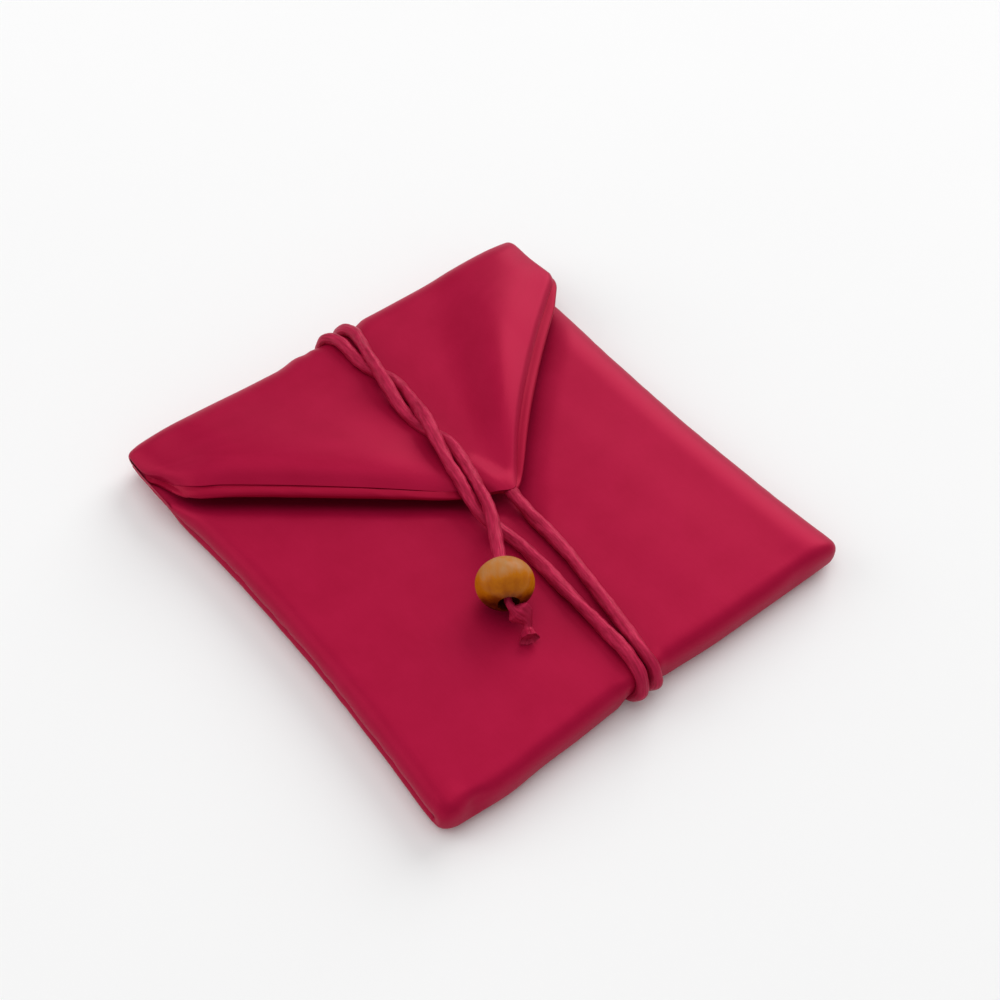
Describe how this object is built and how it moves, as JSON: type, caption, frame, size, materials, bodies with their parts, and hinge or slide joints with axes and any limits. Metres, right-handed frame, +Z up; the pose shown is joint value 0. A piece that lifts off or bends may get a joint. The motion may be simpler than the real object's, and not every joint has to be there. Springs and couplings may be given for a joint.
{
  "type": "envelope jewelry pouch",
  "caption": "Flat padded satin pouch with a pointed fold-over flap, tied shut by a wound satin cord that ends in a turned wooden bead; keeps small jewelry.",
  "frame": {"origin": "on the ground under the middle of the pouch, measured without the cord", "axes": "+X along the top fold, +Y from the bottom fold to the top fold, +Z up through the flap"},
  "size_m": [0.0994, 0.1073, 0.0201],
  "materials": {
    "satin_outer": "crimson satin with soft padding behind it",
    "satin_lining": "crimson satin",
    "satin_cord": "round satin cord",
    "amber_wood": "varnished amber-brown wood"
  },
  "bodies": {
    "pouch": {"outer_shell": "satin_outer", "lining": "satin_lining", "tie_cord": "satin_cord", "stopper_knot": "satin_cord"},
    "bead": {"bead": "amber_wood"}
  },
  "joints": [
    {"name": "bead_slide", "type": "slide", "parent": "pouch", "child": "bead", "axis": [0.5, 0.866, 0], "range_m": [0, 0.008]}
  ]
}
